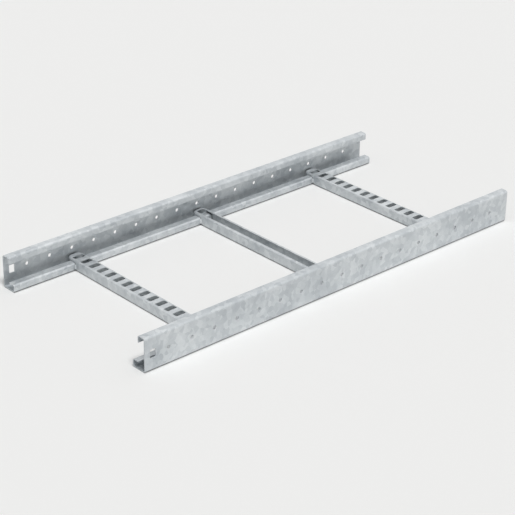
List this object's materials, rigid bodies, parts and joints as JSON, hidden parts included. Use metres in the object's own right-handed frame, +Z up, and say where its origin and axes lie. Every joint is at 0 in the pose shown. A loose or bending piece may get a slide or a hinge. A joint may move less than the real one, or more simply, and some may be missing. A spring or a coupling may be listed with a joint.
{
  "type": "cable ladder section",
  "caption": "Straight cable ladder section: two roll-formed side rails with inward flanges, joined by pressed channel rungs set alternately slots up and open side up.",
  "frame": {"origin": "centre of the ladder's footprint, on the underside of the side rails", "axes": "+X along the side rails, away from the end with the joint slots; +Y across the ladder, towards side_rail_back; +Z up, the side on which the cables lie"},
  "size_m": [0.9, 0.404, 0.065],
  "materials": {
    "galvanised_sheet": "hot-dip galvanised, dull pale grey with faint spangle"
  },
  "bodies": {
    "root": {"side_rail_front": "galvanised_sheet", "side_rail_back": "galvanised_sheet", "rung_1_slotted": "galvanised_sheet", "rung_2_open": "galvanised_sheet", "rung_3_slotted": "galvanised_sheet"}
  },
  "joints": []
}
